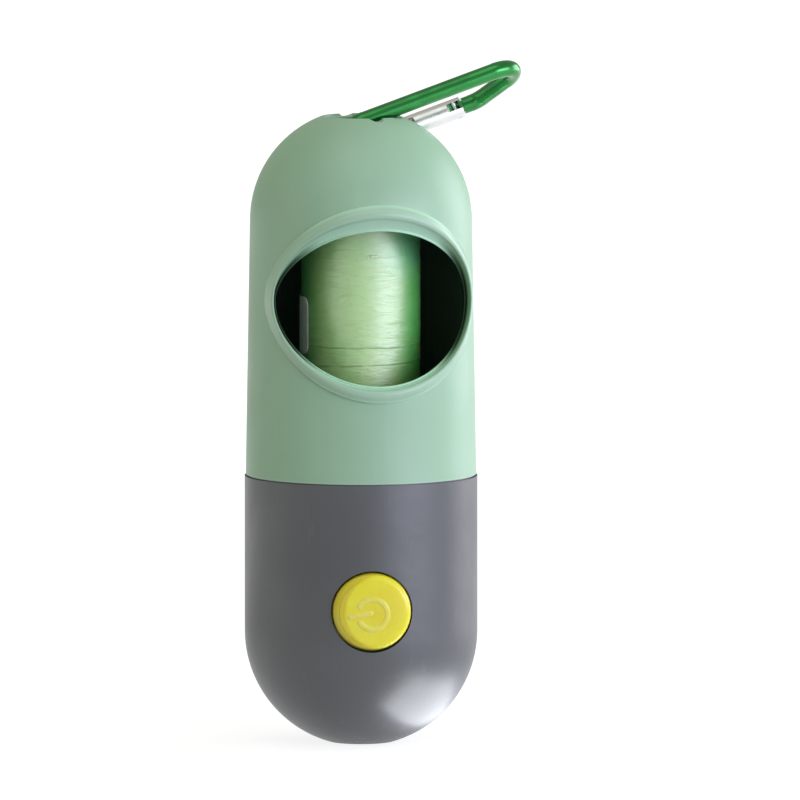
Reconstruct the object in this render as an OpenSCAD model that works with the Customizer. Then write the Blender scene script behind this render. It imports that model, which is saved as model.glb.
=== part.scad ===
// Capsule dispenser for rolls of dog poop bags, with a torch in its lower half.
// Millimetres. Z is the capsule's axis, Z = 0 is the flat foot it stands on, the bag window faces -Y.

/* [Torch half] */
// Outer diameter of the torch half
torch_d = 42; // [40:0.5:48]
// Height of the seam between the two halves above the foot
seam_z = 48.5; // [47:0.5:60]
// Wall of the torch half
torch_wall = 1.6; // [1.2:0.1:2]
// Diameter of the flat foot
foot_d = 12; // [11:0.5:15]
// Thickness of the floor round the lens
floor_t = 2.2; // [1.8:0.1:3]
// Height of the spigot that the bag half goes over
spigot_h = 8; // [5:0.5:12]
// Wall of the spigot
spigot_wall = 1.4; // [1:0.1:2]
// How far the torch is turned from the window when the halves are home
torch_turn = -5; // [-20:1:20]
// Width of the ledge that carries the divider
ledge_w = 1.8; // [1.2:0.1:3]
// Thickness of the ledge
ledge_t = 2; // [1.5:0.1:3]
// Depth of the shadow groove at the seam
groove_t = 0.25; // [0.1:0.05:0.5]

/* [Button] */
// Diameter of the rubber button
button_d = 14; // [11:0.5:16]
// Height of the button's centre above the foot
button_z = 25.6; // [22:0.2:28]
// How far the button stands proud of the wall
button_proud = 0.7; // [0.3:0.1:1.5]
// Crown of the button's face
button_crown = 0.5; // [0.2:0.1:1]
// How far the button travels
button_travel = 0.6; // [0.3:0.1:0.8]
// Gap round the button
button_gap = 0.35; // [0.2:0.05:0.6]
// Width of the flange that keeps the button in
button_lip = 1.4; // [1:0.1:1.8]

/* [Torch works] */
// Width of the circuit board
board_w = 23; // [20:0.5:24]
// Height of the circuit board
board_h = 26; // [23:0.5:28]
// Thickness of the circuit board
board_t = 1.2; // [0.8:0.1:1.6]
// Side of the square push switch
switch_w = 6; // [5:0.5:7]
// Diameter of one button cell
cell_d = 11.6; // [9.5:0.1:12]
// Thickness of one button cell
cell_t = 5.4; // [3.6:0.1:5.6]
// Diameter of the lamp
led_d = 5; // [4.4:0.1:5.2]
// Diameter of the window of the lens
lens_d = 7.4; // [6:0.2:8]

/* [Bag half] */
// How far the bag half's skin lies inside the torch half's at the seam
seam_step = 0.2; // [0:0.05:0.4]
// Outer diameter of the dome
dome_d = 40; // [39:0.1:46]
// Height of the dome's centre above the foot
dome_z = 94.4; // [92:0.2:110]
// Wall of the bag half
bag_wall = 1.6; // [1.2:0.1:2]
// How far the flat top lies below the dome's full height
top_drop = 1.3; // [0.9:0.1:1.8]
// Thickness of the top round the opening
top_t = 1.6; // [1.2:0.1:2]

/* [Bag window] */
// Width of the window
window_w = 36; // [26:0.5:37]
// Height of the window
window_h = 31; // [20:0.5:34]
// Height of the window's centre above the foot
window_z = 80.8; // [76:0.2:84]
// Width of the raised lip at the sides, seen from the front
lip_side = 0.8; // [0.5:0.1:1]
// Width of the raised lip above and below
lip_top = 1.9; // [1:0.1:2.5]
// How far the lip stands proud
lip_proud = 1; // [0.4:0.1:1.4]
// How far the opening narrows from the top, from the lip's crest to the inside
bevel_top = 1.6; // [0.4:0.1:2]
// How far the opening narrows at each side, from the lip's crest to the inside
bevel_side = 0.3; // [0.1:0.05:0.6]

/* [Hanger] */
// Diameter of the opening in the top
hanger_d = 13.2; // [12.6:0.1:13.6]
// Width of the bar across the opening
bar_w = 2.2; // [1.8:0.1:2.4]
// Thickness of the bar
bar_t = 1.35; // [1.2:0.05:1.4]
// Width of the slot behind the opening, where the clip lies over
slot_w = 6.6; // [6.4:0.1:7.2]
// Depth of the small saddle in the front and back of the rim
saddle_t = 0.6; // [0.2:0.05:0.8]
// How far the saddle is turned round the opening
saddle_turn = 13; // [0:1:30]

/* [Clip] */
// Diameter of the clip's bar
clip_wire = 3; // [2.6:0.1:3]
// Length of the clip between the middles of its ends
clip_len = 32.9; // [30:0.1:42]
// Width of the clip between the middles of its sides
clip_w = 11.8; // [10:0.2:12]
// Radius of the narrow end
clip_end_r = 4; // [3.8:0.1:4.2]
// Radius of the far end
clip_tip_r = 3.8; // [2.6:0.1:4]
// Radius of the two corners on the gate's side
clip_corner_r = 3.5; // [2.5:0.1:4]
// Rise of the clip as it leans on the rim
clip_lean = 19.5; // [19:0.5:21]
// Roll of the clip about its length
clip_roll = 27; // [26:0.5:28]
// Diameter of the gate
gate_d = 3.8; // [3.2:0.1:3.8]
// Length of the gate
gate_l = 12.5; // [10:0.5:14]
// Thickness of the tongues that the gate straddles
tongue_t = 1.4; // [1:0.1:1.6]
// Diameter of the gate's pivot pin
pivot_d = 1.2; // [1:0.1:1.4]
// Diameter of the gate's latch pin
latch_d = 1.1; // [0.9:0.1:1.3]

/* [Roll] */
// Outer diameter of the roll of bags
roll_d = 22; // [18:0.5:26]
// Length of the roll
roll_l = 52; // [40:0.5:54]
// Outer diameter of the card core
core_d = 11.6; // [10.6:0.1:12.5]
// Wall of the card core
core_wall = 0.8; // [0.5:0.1:1]
// Step where the outermost bag ends
film_step = 0.25; // [0.1:0.05:0.5]
// Height of the paper label
label_h = 10.4; // [8:0.2:14]
// Arc of the paper label round the roll
label_arc = 72; // [50:1:90]

/* [Hidden] */
$fn = 96;
eps = 0.01;

// Clearances
fit_gap = 0.3;        // between parts that go together by hand
run_gap = 0.1;        // between parts that slide or turn on each other
seat_gap = 0.05;      // between parts that are pressed or glued in
thread_gap = 0.4;     // between the spigot and the skirt that goes over it
hole_gap = 0.25;      // round a screw in the piece that it holds down
core_gap = 0.4;       // between the hub and the roll's core, and under the roll
round_over = 0.03;    // rounds of the clip's bar over its straights
run_in = 0.3;         // how far a straight of the clip's bar runs into its rounds

// Torch half
torch_r = torch_d / 2;
cavity_r = torch_r - torch_wall;
foot_r = foot_d / 2;
ball_z = sqrt(torch_r * torch_r - foot_r * foot_r);
base_r = torch_r - seam_step;
skirt_r = base_r - bag_wall;
spigot_r = skirt_r - thread_gap;
divider_bore_r = spigot_r - spigot_wall;
ledge_drop = 1.5;
ledge_z = seam_z - ledge_drop;
groove_w = 0.5;
divider_t = 2;
divider_top = ledge_z + divider_t;
boss_r = 2.6;
boss_ring_r = divider_bore_r - boss_r - fit_gap;
boss_l = 10;
boss_angles = [90, 210, 330];
screw_r = 0.9;
screw_head_r = 1.9;
screw_head_t = 0.9;
screw_l = 7;
screw_tip_l = 0.6;
screw_tip_r = 0.15;
screw_slot_w = 0.4;
hub_wall = 1.4;
hub_taper = 0.7;
step_w = 1.6;
step_h = 0.3;

// Lamp and lens, from the foot up
lens_step = 0.8;
lens_flange = 0.8;
lens_r = lens_d / 2;
reflector_t = 1;
reflector_r = lens_r + 2.3;
reflector_h = 6.8;
reflector_foot = 0.6;
led_r = led_d / 2;
led_flange = 0.4;
led_bore_z = floor_t + 4.3;
led_seat_z = floor_t + reflector_h;
led_leg_z = led_seat_z + 5;
led_leg_r = 0.28;
led_leg_gap = 2.54;
led_stop = 0.5;
collar_h = 2;

// Button stack, measured inwards from the wall's front at y = -torch_r
button_r = button_d / 2;
button_seat_y = -(cavity_r - 2);
button_flange_t = 1;
button_back_y = button_seat_y + button_flange_t + 0.1;
button_edge = 1.1;
land_w = 0.6;
land_drop = 0.4;
plunger_r = 1.7;
plunger_l = 2.1;
switch_t = 3;
switch_front_y = button_back_y + button_travel + 0.3;
board_y = switch_front_y + switch_t;
board_z0 = button_z - board_h / 2 + 0.4;
post_r = 1.7;
post_x = board_w / 2 - 2.3;
post_z = [board_z0 + 2.4, board_z0 + board_h - 2.4];
board_screw_r = 0.7;
board_screw_l = 3.8;
board_screw_head_r = 1.3;
board_screw_head_t = 0.7;

// Battery, behind the board
cell_r = cell_d / 2;
cell_count = 3;
cell_rim = 0.35;
holder_wall = 1.2;
holder_y = board_y + board_t;
battery_y = holder_y + 0.8 + cell_r;
spring_h = 2.4;
plate_t = 0.4;
holder_z = board_z0 + 5;
spring_z = holder_z + holder_wall;
cells_z = spring_z + spring_h;
cells_top = cells_z + cell_count * cell_t;
holder_top = cells_top + plate_t + holder_wall;
coil_r = 3;
coil_wire_r = 0.25;
coil_turns = 3;

// Bag half
dome_r = dome_d / 2;
top_z = dome_z + dome_r - top_drop;
saddle_r = 2;

// Window tiers: each is an oval that stands a little prouder than the one round it
lip_tiers = 3;
bevel_steps = 3;
oval_points = 72;

// Hanger
hanger_r = hanger_d / 2;
bar_r = bar_w / 2;
bar_root = 0.4;
slot_r = slot_w / 2;
slot_near = [1.8, 3.9];
slot_far = [10.2, 7.2];
slot_reach = 9;
groove_gap = 0.6;

// Clip: u runs along it from its narrow end, w across it towards the gate, n out of its plane
wire_r = clip_wire / 2;
clip_near_x = -3.2;
clip_drop = 3.5;
clip_at = [clip_near_x, 0, top_z - clip_drop];
near_angle = 45;
far_angle = 43.5;
spine_w = -clip_end_r;
gate_w = spine_w + clip_w;
near_u = clip_end_r - clip_end_r / tan(near_angle / 2);
far_u = clip_len - clip_tip_r + clip_tip_r / tan(far_angle / 2);
latch_gap = 0.2;
pin_inset = 0.2;
spring_gap = 0.25;
spring_wire_r = 0.18;
clip_corners = [
    [near_u, spine_w, clip_end_r],
    [far_u, spine_w, clip_tip_r],
    [far_u - clip_w / tan(far_angle), gate_w, clip_corner_r],
    [near_u + clip_w / tan(near_angle), gate_w, clip_corner_r]];
gate_r = gate_d / 2;
gate_end_u = clip_corners[2][0] - tan(far_angle / 2) * clip_corner_r - 1.4;
gate_start_u = gate_end_u - gate_l;
pivot_u = gate_start_u + 1.6;
pivot_r = pivot_d / 2;
latch_r = latch_d / 2;
latch_u = gate_end_u - 1.5;
gate_end_gap = 0.35;
tongue_r = 1.15;
tongue_l = 2.7;
gate_round_r = 1.45;
slit_t = tongue_t + 2 * run_gap;
spring_bore_r = 0.9;
spring_bore_l = 4;

// Roll
roll_r = roll_d / 2;
core_r = core_d / 2;
hub_r = core_r - core_wall - core_gap;
hub_h = 7;
roll_z = divider_top + core_gap;
label_t = 0.15;
label_z = 75.6;
label_edge = 199.5;

green = [0.56, 0.71, 0.60];
grey = [0.34, 0.34, 0.36];
yellow = [0.90, 0.85, 0.32];
silver = [0.80, 0.80, 0.80];
clip_green = [0.20, 0.50, 0.26];

// ---- shared shapes ----

// A closed oval, centred on the origin
module oval(w, h) {
    polygon([for (i = [0 : oval_points - 1])
        [w / 2 * cos(360 * i / oval_points), h / 2 * sin(360 * i / oval_points)]]);
}

// A prism of its 2D child that runs from the axis out of the front, with the child's y as height
module forward(reach = 40) {
    rotate([90, 0, 0])
        linear_extrude(reach)
            children();
}

// A round bar that points out of the front, from y = from to y = to
module front_bar(r, from, to) {
    translate([0, max(from, to), 0])
        rotate([90, 0, 0])
            cylinder(r = r, h = abs(to - from));
}

// Half a revolve profile's disc: radius r, centre height z
module half_disc(r, z) {
    intersection() {
        translate([0, z])
            circle(r, $fn = 180);
        translate([0, z - r])
            square([r, 2 * r]);
    }
}

// A self-tapping screw with its head's top at z = 0, pointing down
module screw(r, head_r, head_t, l) {
    difference() {
        union() {
            translate([0, 0, -head_t])
                cylinder(r1 = r, r2 = head_r, h = head_t);
            translate([0, 0, screw_tip_l - l])
                cylinder(r = r, h = l - head_t - screw_tip_l + eps);
            translate([0, 0, -l])
                cylinder(r1 = screw_tip_r, r2 = r, h = screw_tip_l + eps);
        }
        for (a = [0, 90])
            rotate([0, 0, a])
                translate([-head_r * 0.55, -screw_slot_w / 2, -head_t * 0.5])
                    cube([head_r * 1.1, screw_slot_w, head_t]);
    }
}

// A tube along the points of a path, as one closed skin
module tube(path, r, sides = 6) {
    last = len(path) - 1;
    function along(i) = let (d = path[min(i + 1, last)] - path[max(i - 1, 0)]) d / norm(d);
    rings = [for (i = [0 : last])
        let (t = along(i), a = cross(t, [0, 0, 1]), x = a / norm(a), y = cross(x, t))
        for (k = [0 : sides - 1])
            path[i] + r * (cos(360 * k / sides) * x + sin(360 * k / sides) * y)];
    skin = [for (i = [0 : last - 1]) for (k = [0 : sides - 1])
        let (a = i * sides + k, b = i * sides + (k + 1) % sides)
        each [[a, a + sides, b], [b, a + sides, b + sides]]];
    caps = [
        [for (k = [0 : sides - 1]) k],
        [for (k = [sides - 1 : -1 : 0]) last * sides + k]];
    polyhedron(rings, concat(skin, caps));
}

// A helical spring standing on z = 0, measured over the wire
module coil(r_low, r_high, h, wire, turns, steps = 12) {
    n = turns * steps;
    tube([for (i = [0 : n])
        let (f = i / n, r = r_low + (r_high - r_low) * f)
        [r * cos(360 * i / steps), r * sin(360 * i / steps), wire + (h - 2 * wire) * f]], wire);
}

// ---- torch half ----

module torch_outside() {
    rotate_extrude($fn = 180)
        intersection() {
            union() {
                half_disc(torch_r, ball_z);
                translate([0, ball_z])
                    square([torch_r, seam_z - ball_z]);
            }
            square([torch_r, seam_z]);
        }
}

// Hollow of the torch half, from the floor to the underside of the ledge
module torch_inside() {
    rotate_extrude($fn = 180)
        intersection() {
            union() {
                half_disc(cavity_r, ball_z);
                translate([0, ball_z])
                    square([cavity_r, ledge_z - ledge_t - ball_z]);
            }
            translate([0, floor_t])
                square([cavity_r, seam_z]);
        }
}

module in_button_place() {
    translate([0, 0, button_z])
        children();
}

module torch_shell() {
    color(grey)
    rotate([0, 0, torch_turn])
    difference() {
        union() {
            difference() {
                union() {
                    torch_outside();
                    translate([0, 0, ledge_z])
                        cylinder(r = spigot_r, h = seam_z - ledge_z + spigot_h);
                }
                torch_inside();
                translate([0, 0, ledge_z])
                    cylinder(r = divider_bore_r, h = spigot_h * 2);
                translate([0, 0, ledge_z - ledge_t - eps])
                    cylinder(r = divider_bore_r - ledge_w, h = ledge_t + 2 * eps);
            }
            // Bosses for the divider's screws hang from the ledge
            for (a = boss_angles)
                rotate([0, 0, a])
                    translate([boss_ring_r, 0, ledge_z - boss_l])
                        cylinder(r = boss_r, h = boss_l);
            intersection() {
                torch_outside();
                union() {
                    // Flat seat behind the wall for the button's flange
                    in_button_place()
                        front_bar(button_r + button_lip + land_w, button_seat_y, -torch_r + land_drop);
                    // Posts that carry the circuit board
                    for (x = [-post_x, post_x])
                        for (z = post_z)
                            translate([x, 0, z])
                                front_bar(post_r, board_y, -torch_r + 3);
                    // Collar that centres the reflector
                    difference() {
                        cylinder(r = reflector_r + 1.3, h = floor_t + collar_h);
                        cylinder(r = reflector_r + seat_gap, h = 3 * floor_t);
                    }
                }
            }
        }
        in_button_place()
            front_bar(button_r + button_gap, -torch_r / 2 - 2, -torch_r - 1);
        translate([0, 0, -eps])
            cylinder(r = lens_r + seat_gap, h = floor_t + 1);
        translate([0, 0, lens_step])
            cylinder(r = lens_r + lens_flange + seat_gap, h = floor_t);
        // Shadow groove where the two halves meet
        translate([0, 0, seam_z - groove_t])
            difference() {
                cylinder(r = torch_r + 1, h = groove_t + 1, $fn = 180);
                translate([0, 0, -1])
                    cylinder(r = torch_r - groove_w, h = groove_t + 3, $fn = 180);
            }
        for (a = boss_angles)
            rotate([0, 0, a])
                translate([boss_ring_r, 0, ledge_z - screw_l])
                    cylinder(r = screw_r, h = screw_l + 1);
        for (x = [-post_x, post_x])
            for (z = post_z)
                translate([x, 0, z])
                    front_bar(board_screw_r, board_y + 1, board_y + board_t - board_screw_l);
    }
}

module button_cap() {
    face_r = (button_r * button_r + button_crown * button_crown) / (2 * button_crown);
    face_y = -torch_r - button_proud;
    color(yellow)
    rotate([0, 0, torch_turn])
    in_button_place()
    rotate([90, 0, 0])
    rotate_extrude()
        union() {
            // Crowned face with a rounded edge, then the stem
            intersection() {
                translate([0, -face_y - face_r])
                    circle(face_r, $fn = 720);
                union() {
                    translate([0, -button_back_y + eps])
                        square([button_r - button_edge, torch_r]);
                    translate([0, -button_back_y + eps])
                        square([button_r, -face_y - button_crown - button_edge + button_back_y]);
                    translate([button_r - button_edge, -face_y - button_crown - button_edge])
                        circle(button_edge, $fn = 48);
                }
            }
            translate([0, -button_back_y])
                square([button_r + button_lip, button_flange_t]);
        }
}

module switch_plunger() {
    color("dimgray")
    rotate([0, 0, torch_turn])
    in_button_place()
        front_bar(plunger_r, button_back_y + plunger_l, button_back_y);
}

module push_switch() {
    color("silver")
    rotate([0, 0, torch_turn])
    in_button_place()
    difference() {
        translate([-switch_w / 2, switch_front_y, -switch_w / 2])
            cube([switch_w, switch_t, switch_w]);
        front_bar(plunger_r + run_gap, switch_front_y - 1, button_back_y + plunger_l + button_travel + 0.2);
    }
}

module circuit_board() {
    color("darkgreen")
    rotate([0, 0, torch_turn])
    difference() {
        translate([-board_w / 2, board_y, board_z0])
            cube([board_w, board_t, board_h]);
        for (x = [-post_x, post_x])
            for (z = post_z)
                translate([x, 0, z])
                    front_bar(board_screw_r + hole_gap, board_y + board_t + 1, board_y - 1);
    }
}

module board_screws() {
    color("silver")
    rotate([0, 0, torch_turn])
    for (x = [-post_x, post_x])
        for (z = post_z)
            translate([x, board_y + board_t + board_screw_head_t, z])
                rotate([-90, 0, 0])
                    screw(board_screw_r - seat_gap, board_screw_head_r, board_screw_head_t, board_screw_l);
}

module battery_holder() {
    half = cell_r + holder_wall;
    color([0.15, 0.15, 0.15])
    rotate([0, 0, torch_turn])
    difference() {
        translate([-half, holder_y, holder_z])
            cube([2 * half, battery_y - holder_y + 2, holder_top - holder_z]);
        translate([0, battery_y, holder_z + holder_wall])
            cylinder(r = cell_r + run_gap * 1.5, h = holder_top - holder_z - 2 * holder_wall);
    }
}

module button_cells() {
    color("lightgray")
    rotate([0, 0, torch_turn])
    translate([0, battery_y, cells_z])
    for (i = [0 : cell_count - 1])
        translate([0, 0, i * cell_t]) {
            cylinder(r = cell_r - 1.2, h = cell_t);
            translate([0, 0, cell_rim])
                cylinder(r = cell_r, h = cell_t - cell_rim - seat_gap);
        }
}

module contact_spring() {
    color("silver")
    rotate([0, 0, torch_turn])
    translate([0, battery_y, spring_z])
        coil(coil_r, coil_r / 2, spring_h, coil_wire_r, coil_turns);
}

module contact_plate() {
    color("gold")
    rotate([0, 0, torch_turn])
    translate([0, battery_y, cells_top])
        cylinder(r = cell_r - 1.5, h = plate_t);
}

module lamp() {
    color("white")
    rotate([0, 0, torch_turn]) {
        rotate_extrude($fn = 48) {
            translate([0, led_bore_z])
                square([led_r, led_seat_z - led_bore_z + 1]);
            half_disc(led_r, led_bore_z);
            translate([0, led_seat_z])
                square([led_r + led_flange, 1]);
        }
        for (x = [-led_leg_gap / 2, led_leg_gap / 2]) {
            translate([x, 0, led_seat_z + led_stop])
                cylinder(r = led_leg_r, h = led_leg_z - led_seat_z - led_stop, $fn = 16);
            translate([x, 0, led_leg_z])
                sphere(r = led_leg_r, $fn = 16);
            translate([x, 0, led_leg_z])
                rotate([90, 0, 0])
                    cylinder(r = led_leg_r, h = -holder_y, $fn = 16);
        }
    }
}

module reflector() {
    color("gainsboro")
    rotate_extrude()
        polygon([
            [lens_r + reflector_foot, floor_t],
            [reflector_r, floor_t],
            [reflector_r, floor_t + reflector_t],
            [lens_r + 1.2, floor_t + reflector_t],
            [led_r + 1.2, floor_t + reflector_h],
            [led_r + seat_gap, floor_t + reflector_h],
            [led_r + seat_gap, led_bore_z]]);
}

module lens() {
    color([0.85, 0.9, 0.95, 0.6]) {
        cylinder(r = lens_r, h = floor_t - run_gap);
        translate([0, 0, lens_step])
            cylinder(r = lens_r + lens_flange, h = floor_t - lens_step);
    }
}

module divider_plate() {
    color([0.22, 0.22, 0.24])
    rotate([0, 0, torch_turn])
    difference() {
        union() {
            translate([0, 0, ledge_z])
                cylinder(r = divider_bore_r - fit_gap, h = divider_t);
            translate([0, 0, divider_top - eps])
                cylinder(r = hub_r + step_w, h = step_h);
            translate([0, 0, divider_top - eps]) {
                cylinder(r = hub_r, h = hub_h - 1);
                translate([0, 0, hub_h - 1])
                    cylinder(r1 = hub_r, r2 = hub_r - hub_taper, h = 1);
            }
        }
        translate([0, 0, ledge_z - eps])
            cylinder(r = hub_r - hub_wall, h = hub_h);
        for (a = boss_angles)
            rotate([0, 0, a])
                translate([boss_ring_r, 0, ledge_z - eps]) {
                    cylinder(r = screw_r + hole_gap, h = divider_t + 1);
                    translate([0, 0, divider_t - screw_head_t - seat_gap])
                        cylinder(
                            r1 = screw_r + hole_gap, r2 = screw_head_r + hole_gap,
                            h = screw_head_t + 2 * seat_gap);
                }
    }
}

module divider_screws() {
    color("silver")
    rotate([0, 0, torch_turn])
    for (a = boss_angles)
        rotate([0, 0, a])
            translate([boss_ring_r, 0, divider_top])
                screw(screw_r - seat_gap, screw_head_r, screw_head_t, screw_l + 1);
}

// ---- bag half ----

// The bag half's solid form, grown outwards by g, with its top at height t
module bag_form(g, t) {
    rotate_extrude($fn = 180)
        intersection() {
            union() {
                half_disc(dome_r + g, dome_z);
                polygon([[0, seam_z], [base_r + g, seam_z], [dome_r + g, dome_z], [0, dome_z]]);
            }
            translate([0, seam_z - eps])
                square([base_r + g + 1, t - seam_z + eps]);
        }
}

// One tier of the lip: t runs from 0 at its foot to 1 at its crest
module lip_tier(t) {
    intersection() {
        bag_form(lip_proud * t, top_z);
        translate([0, 0, window_z])
            forward()
                oval(window_w + 2 * lip_side * (1.5 - t), window_h + 2 * lip_top * (1.5 - t));
    }
}

// One step of the opening: t runs from 0 at the lip's crest to 1, which goes right through
module window_step(t) {
    reach = lip_proud - (lip_proud + bag_wall) * (t + 1 / bevel_steps);
    difference() {
        translate([0, 0, window_z - bevel_top * t / 2])
            forward()
                oval(window_w - 2 * bevel_side * t, window_h - bevel_top * t);
        if (t < 1)
            bag_form(reach, top_z);
    }
}

// The leg of the clip that lies on the rim, at rest, with room round it
module clip_groove() {
    in_clip_place()
        translate([clip_end_r, spine_w, 0])
            rotate([0, 90, 0])
                cylinder(r = wire_r + groove_gap, h = clip_len / 2);
}

module bag_shell() {
    color(green)
    difference() {
        union() {
            difference() {
                union() {
                    bag_form(0, top_z);
                    for (i = [1 : lip_tiers])
                        lip_tier(i / lip_tiers);
                }
                bag_form(-bag_wall, top_z - top_t);
                translate([0, 0, seam_z - 1])
                    cylinder(r = skirt_r, h = 1 + eps);
                translate([0, 0, top_z - 3 * top_t])
                    cylinder(r = hanger_r, h = 6 * top_t);
                hanger_slot();
                for (a = [0, 180])
                    rotate([0, 0, a + saddle_turn])
                        translate([0, 0, top_z + saddle_r - saddle_t])
                            front_bar(saddle_r, 0, -dome_r / 2);
                clip_groove();
            }
            hanger_bar();
        }
        for (i = [0 : bevel_steps - 1])
            window_step(i / (bevel_steps - 1));
    }
}

// Room for the clip's gate leg where it lies over the dome and swings up
module hanger_slot() {
    d = slot_far - slot_near;
    translate([slot_near[0], slot_near[1], top_z - slot_reach])
        rotate([0, 0, atan2(d[1], d[0])]) {
            cylinder(r = slot_r, h = 2 * slot_reach);
            translate([0, -slot_r, 0])
                cube([norm(d), 2 * slot_r, 2 * slot_reach]);
            translate([norm(d), 0, 0])
                cylinder(r = slot_r, h = 2 * slot_reach);
        }
}

// Bar across the opening, flat on top and round below
module hanger_bar() {
    half = hanger_r + bar_root;
    translate([-half, 0, top_z])
        rotate([90, 0, 90])
            linear_extrude(2 * half) {
                translate([0, bar_r - bar_t])
                    intersection() {
                        circle(bar_r, $fn = 48);
                        translate([-bar_r, -bar_r])
                            square([bar_w, bar_r]);
                    }
                translate([-bar_r, bar_r - bar_t])
                    square([bar_w, bar_t - bar_r]);
            }
}

module roll_core() {
    color("tan")
    translate([0, 0, roll_z])
        difference() {
            cylinder(r = core_r, h = roll_l);
            translate([0, 0, -1])
                cylinder(r = core_r - core_wall, h = roll_l + 2);
        }
}

// Wound film: the outside steps down where the outermost bag ends
module bag_roll() {
    color([0.45, 0.68, 0.42])
    translate([0, 0, roll_z])
        linear_extrude(roll_l)
            difference() {
                polygon([for (i = [0 : 90])
                    let (a = 60 + 4 * i, r = roll_r - film_step * i / 90)
                    [r * cos(a), r * sin(a)]]);
                circle(core_r + seat_gap);
            }
}

module roll_label() {
    color("whitesmoke")
    translate([0, 0, label_z - label_h / 2])
        rotate([0, 0, label_edge - label_arc])
            rotate_extrude(angle = label_arc)
                translate([roll_r + eps, 0])
                    square([label_t, label_h]);
}

// ---- clip ----

// Carries the clip's own frame (u, w, n) to where the clip hangs at rest
module in_clip_place() {
    translate(clip_at)
        rotate([0, -clip_lean, 0])
            rotate([-clip_roll, 0, 0])
                children();
}

// Half the angle at corner i of the clip's outline
function corner_half(i) =
    let (p = clip_corners[(i + 3) % 4], q = clip_corners[i], s = clip_corners[(i + 1) % 4],
        a = [p[0] - q[0], p[1] - q[1]], b = [s[0] - q[0], s[1] - q[1]])
    acos((a * b) / (norm(a) * norm(b))) / 2;

// Where the round of corner i meets the side that comes from (side -1) or goes to (side 1) a neighbour
function corner_tangent(i, side) =
    let (q = clip_corners[i], s = clip_corners[(i + 4 + side) % 4],
        d = [s[0] - q[0], s[1] - q[1]])
    [q[0], q[1]] + d / norm(d) * q[2] / tan(corner_half(i));

// Centre of the round of corner i
function corner_centre(i) =
    let (q = clip_corners[i], m = (corner_tangent(i, -1) + corner_tangent(i, 1)) / 2,
        d = m - [q[0], q[1]])
    [q[0], q[1]] + d / norm(d) * q[2] / sin(corner_half(i));

// The clip's closed outline as a round bar of radius r: each straight runs into the rounds at its ends
module clip_loop(r) {
    for (i = [0 : 3]) {
        c = corner_centre(i);
        a = corner_tangent(i, -1);
        b = corner_tangent(i, 1);
        n = corner_tangent((i + 1) % 4, -1);
        side = norm(n - b);
        translate([c[0], c[1], 0])
            rotate([0, 0, atan2(a[1] - c[1], a[0] - c[0])])
                rotate_extrude(angle = 180 - 2 * corner_half(i))
                    translate([clip_corners[i][2], 0])
                        circle(r + round_over, $fn = 48);
        translate([b[0], b[1], 0])
            rotate([0, 0, atan2(n[1] - b[1], n[0] - b[0])])
                translate([-run_in, 0, 0])
                    rotate([0, 90, 0])
                        cylinder(r = r, h = side + 2 * run_in, $fn = 48);
    }
}

// A pin through the clip's plane at u, w
module cross_pin(u, w, r, l) {
    translate([u, w, -l / 2])
        cylinder(r = r, h = l, $fn = 32);
}

module clip_body() {
    color(clip_green)
    in_clip_place() {
        difference() {
            clip_loop(wire_r);
            translate([gate_start_u, gate_w - 2 * wire_r, -2 * wire_r])
                cube([gate_l, 4 * wire_r, 4 * wire_r]);
        }
        // Tongue that carries the pivot
        difference() {
            union() {
                translate([gate_start_u - 0.5, gate_w - tongue_r, -tongue_t / 2])
                    cube([pivot_u - gate_start_u + 0.5, 2 * tongue_r, tongue_t]);
                cross_pin(pivot_u, gate_w, tongue_r, tongue_t);
            }
            cross_pin(pivot_u, gate_w, pivot_r + seat_gap, 2 * gate_d);
        }
        // Hooked tongue that the latch pin swings into from the inside
        difference() {
            translate([gate_end_u - tongue_l, gate_w - tongue_r, -tongue_t / 2])
                cube([tongue_l + 0.5, 2 * tongue_r, tongue_t]);
            cross_pin(latch_u, gate_w, latch_r + latch_gap, 2 * gate_d);
            translate([latch_u - latch_r - latch_gap, gate_w - 2 * tongue_r, -tongue_t])
                cube([2 * (latch_r + latch_gap), 2 * tongue_r, 2 * tongue_t]);
        }
    }
}

module gate_pivot() {
    color(silver)
    in_clip_place()
        cross_pin(pivot_u, gate_w, pivot_r, gate_d - pin_inset);
}

module clip_gate() {
    slit = 2 * gate_d;
    color(silver)
    in_clip_place()
    difference() {
        intersection() {
            translate([gate_start_u, gate_w, 0])
                rotate([0, 90, 0])
                    cylinder(r = gate_r, h = gate_l - gate_end_gap);
            union() {
                cross_pin(pivot_u, gate_w, gate_round_r, slit);
                translate([pivot_u, gate_w - gate_d, -gate_d])
                    cube([gate_l, 2 * gate_d, 2 * gate_d]);
            }
        }
        // Slits over the two tongues
        translate([gate_start_u - 1, gate_w - gate_d, -slit_t / 2])
            cube([pivot_u - gate_start_u + 1 + tongue_r + 0.3, 2 * gate_d, slit_t]);
        translate([gate_end_u - tongue_l - 0.4, gate_w - gate_d, -slit_t / 2])
            cube([tongue_l + 1, 2 * gate_d, slit_t]);
        cross_pin(pivot_u, gate_w, pivot_r + run_gap / 2, slit);
        cross_pin(latch_u, gate_w, latch_r, slit);
        // Bore for the spring that closes the gate
        translate([pivot_u + tongue_r, gate_w, 0])
            rotate([0, 90, 0])
                cylinder(r = spring_bore_r, h = spring_bore_l, $fn = 32);
    }
}

module latch_pin() {
    color(silver)
    in_clip_place()
        cross_pin(latch_u, gate_w, latch_r, gate_d - pin_inset);
}

module gate_spring() {
    color("silver")
    in_clip_place()
        translate([pivot_u + tongue_r + spring_bore_l, gate_w, 0])
            rotate([0, -90, 0])
                coil(
                    spring_bore_r - spring_gap, spring_bore_r - spring_gap,
                    spring_bore_l - 0.35, spring_wire_r, 5, 10);
}

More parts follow.
